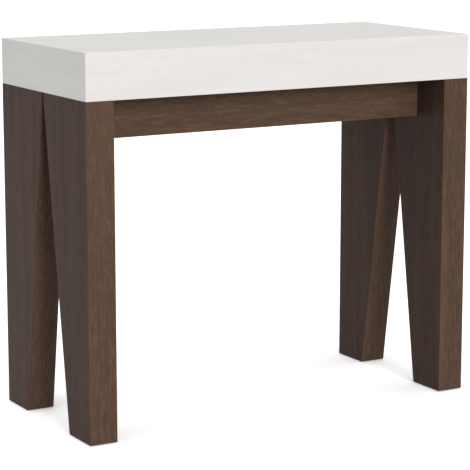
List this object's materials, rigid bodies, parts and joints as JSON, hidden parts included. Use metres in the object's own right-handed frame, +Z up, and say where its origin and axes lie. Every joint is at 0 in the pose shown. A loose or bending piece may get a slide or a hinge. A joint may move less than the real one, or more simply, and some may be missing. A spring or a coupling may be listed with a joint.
{
  "type": "extending console table",
  "caption": "Console table with a thick box top on tapered legs that parts at mid-depth and pulls open on hidden telescopic guides to take loose leaves.",
  "frame": {"origin": "on the floor, under the middle of the closed table", "axes": "+X along the table's length, +Y from the front half to the rear half, +Z up"},
  "size_m": [0.9, 0.4, 0.777],
  "materials": {
    "white_ash_board": "white ash-effect melamine, matt, fine horizontal grain",
    "walnut_board": "dark walnut-effect melamine, matt, grain along the piece",
    "beech_batten": "planed, unfinished",
    "beech_dowel": "fluted, unfinished",
    "anodised_aluminium": "extruded, natural anodised",
    "zinc_plated_steel": "bright zinc plated",
    "die_cast_zinc": "die cast, dull grey",
    "glide_plastic": "moulded, dark brown"
  },
  "bodies": {
    "rear_half": {"rear_top_panel": "white_ash_board", "rear_fascia": "white_ash_board", "rear_left_cheek": "white_ash_board", "rear_right_cheek": "white_ash_board", "rear_left_leg": "walnut_board", "rear_right_leg": "walnut_board", "rear_apron": "walnut_board", "rear_left_leg_plate": "beech_batten", "rear_right_leg_plate": "beech_batten", "rear_left_guide_bearer": "beech_batten", "rear_right_guide_bearer": "beech_batten", "rear_leg_bolts": "zinc_plated_steel", "rear_leg_washers": "zinc_plated_steel", "rear_leg_nuts": "zinc_plated_steel", "rear_apron_cam_bolts": "zinc_plated_steel", "rear_guide_screws": "zinc_plated_steel", "rear_bearer_screws": "zinc_plated_steel", "rear_apron_dowels": "beech_dowel", "rear_apron_cams": "die_cast_zinc", "rear_floor_glides": "glide_plastic", "left_guide_1": "anodised_aluminium", "right_guide_1": "anodised_aluminium"},
    "front_half": {"front_top_panel": "white_ash_board", "front_fascia": "white_ash_board", "front_left_cheek": "white_ash_board", "front_right_cheek": "white_ash_board", "front_left_leg": "walnut_board", "front_right_leg": "walnut_board", "front_apron": "walnut_board", "front_left_leg_plate": "beech_batten", "front_right_leg_plate": "beech_batten", "front_left_guide_bearer": "beech_batten", "front_right_guide_bearer": "beech_batten", "front_leg_bolts": "zinc_plated_steel", "front_leg_washers": "zinc_plated_steel", "front_leg_nuts": "zinc_plated_steel", "front_apron_cam_bolts": "zinc_plated_steel", "front_guide_screws": "zinc_plated_steel", "front_bearer_screws": "zinc_plated_steel", "front_apron_dowels": "beech_dowel", "front_apron_cams": "die_cast_zinc", "front_floor_glides": "glide_plastic", "seam_pins": "zinc_plated_steel", "left_guide_7": "anodised_aluminium", "right_guide_7": "anodised_aluminium"},
    "guide_stage_1": {"left_guide_2": "anodised_aluminium", "right_guide_2": "anodised_aluminium"},
    "guide_stage_2": {"left_guide_3": "anodised_aluminium", "right_guide_3": "anodised_aluminium"},
    "guide_stage_3": {"left_guide_4": "anodised_aluminium", "right_guide_4": "anodised_aluminium"},
    "guide_stage_4": {"left_guide_5": "anodised_aluminium", "right_guide_5": "anodised_aluminium"},
    "guide_stage_5": {"left_guide_6": "anodised_aluminium", "right_guide_6": "anodised_aluminium"}
  },
  "joints": [
    {"name": "table_opening", "type": "slide", "parent": "rear_half", "child": "front_half", "axis": [0, -1, 0], "range_m": [0, 1.56]},
    {"name": "guide_stage_1_slide", "type": "slide", "parent": "rear_half", "child": "guide_stage_1", "axis": [0, -1, 0], "range_m": [0, 0.261]},
    {"name": "guide_stage_2_slide", "type": "slide", "parent": "rear_half", "child": "guide_stage_2", "axis": [0, -1, 0], "range_m": [0, 0.521]},
    {"name": "guide_stage_3_slide", "type": "slide", "parent": "rear_half", "child": "guide_stage_3", "axis": [0, -1, 0], "range_m": [0, 0.781]},
    {"name": "guide_stage_4_slide", "type": "slide", "parent": "rear_half", "child": "guide_stage_4", "axis": [0, -1, 0], "range_m": [0, 1.041]},
    {"name": "guide_stage_5_slide", "type": "slide", "parent": "rear_half", "child": "guide_stage_5", "axis": [0, -1, 0], "range_m": [0, 1.301]}
  ],
  "couplings": [
    {"joint": "guide_stage_1_slide", "follows": "table_opening", "ratio": 0.16667},
    {"joint": "guide_stage_2_slide", "follows": "table_opening", "ratio": 0.33333},
    {"joint": "guide_stage_3_slide", "follows": "table_opening", "ratio": 0.5},
    {"joint": "guide_stage_4_slide", "follows": "table_opening", "ratio": 0.66667},
    {"joint": "guide_stage_5_slide", "follows": "table_opening", "ratio": 0.83333}
  ]
}
